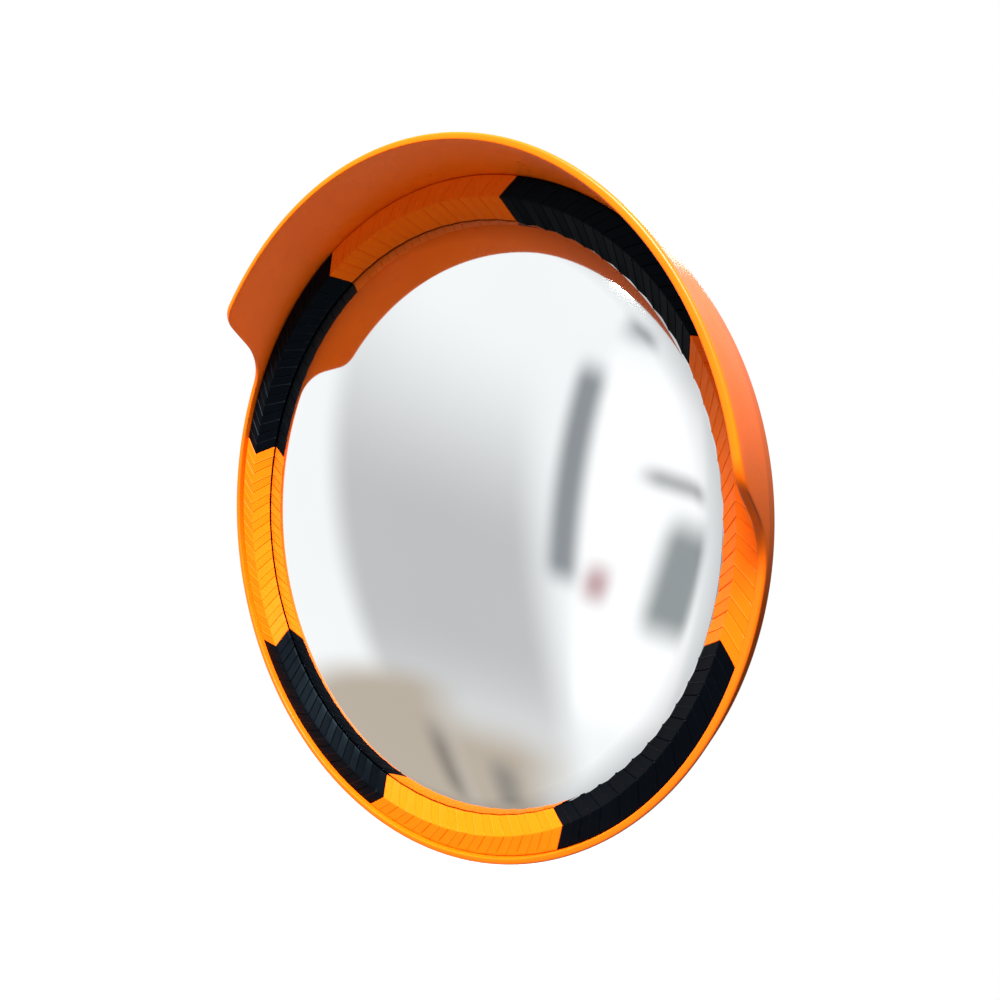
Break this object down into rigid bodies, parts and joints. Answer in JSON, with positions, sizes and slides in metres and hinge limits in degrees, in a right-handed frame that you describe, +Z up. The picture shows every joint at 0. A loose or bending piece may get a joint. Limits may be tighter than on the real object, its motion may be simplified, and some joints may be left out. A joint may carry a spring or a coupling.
{
  "type": "traffic convex mirror",
  "caption": "Round convex traffic mirror in a hooded shell with a two-colour chevron edge, on a bracket that pans and tilts and clamps to a pole.",
  "frame": {"origin": "on the pole's axis, level with the middle of the mirror", "axes": "+Z up along the pole, the mirror looks along -Y, +X is the viewer's right"},
  "size_m": [0.6862, 0.3561, 0.6938],
  "materials": {
    "orange_shell": "glossy moulded orange",
    "orange_segment": "semi-gloss moulded orange, chevron corrugation",
    "black_segment": "semi-gloss moulded black, chevron corrugation",
    "mirror_face": "mirror-coated polycarbonate",
    "seal": "dull black rubber",
    "zinc_steel": "bright zinc plating",
    "galvanised": "hot-dip galvanised grey",
    "casting": "cast and galvanised"
  },
  "bodies": {
    "pole_clamp": {"clamp_bolt_1": "zinc_steel", "clamp_bolt_2": "zinc_steel", "clamp_bolt_3": "zinc_steel", "clamp_bolt_4": "zinc_steel", "clamp_nut_1": "zinc_steel", "clamp_nut_2": "zinc_steel", "clamp_nut_3": "zinc_steel", "clamp_nut_4": "zinc_steel", "clamp_saddle": "galvanised", "clamp_strap": "galvanised", "pan_bolt": "zinc_steel", "pan_nut": "zinc_steel", "pan_washer_bottom": "zinc_steel", "pan_washer_top": "zinc_steel"},
    "knuckle": {"swivel_knuckle": "casting"},
    "mirror_head": {"edge_screw_1": "zinc_steel", "edge_screw_2": "zinc_steel", "edge_screw_3": "zinc_steel", "edge_screw_4": "zinc_steel", "edge_screw_5": "zinc_steel", "edge_screw_6": "zinc_steel", "edge_screw_7": "zinc_steel", "edge_screw_8": "zinc_steel", "edge_segment_1": "orange_segment", "edge_segment_2": "black_segment", "edge_segment_3": "orange_segment", "edge_segment_4": "black_segment", "edge_segment_5": "orange_segment", "edge_segment_6": "black_segment", "edge_segment_7": "orange_segment", "edge_segment_8": "black_segment", "housing_shell": "orange_shell", "hub_bolt_1": "zinc_steel", "hub_bolt_2": "zinc_steel", "hub_bolt_3": "zinc_steel", "hub_bolt_4": "zinc_steel", "hub_nut_1": "zinc_steel", "hub_nut_2": "zinc_steel", "hub_nut_3": "zinc_steel", "hub_nut_4": "zinc_steel", "hub_stiffener": "zinc_steel", "hub_washer_1": "zinc_steel", "hub_washer_2": "zinc_steel", "hub_washer_3": "zinc_steel", "hub_washer_4": "zinc_steel", "mirror_dome": "mirror_face", "mirror_gasket": "seal", "tilt_bolt": "zinc_steel", "tilt_bracket": "galvanised", "tilt_nut": "zinc_steel", "tilt_washer_left": "zinc_steel", "tilt_washer_right": "zinc_steel"}
  },
  "joints": [
    {"name": "pan", "type": "hinge", "parent": "pole_clamp", "child": "knuckle", "pos_m": [0, -0.08, 0], "axis": [0, 0, 1], "range_deg": [-45, 45]},
    {"name": "tilt", "type": "hinge", "parent": "knuckle", "child": "mirror_head", "pos_m": [0, -0.128, 0], "axis": [1, 0, 0], "range_deg": [-15, 25]}
  ]
}
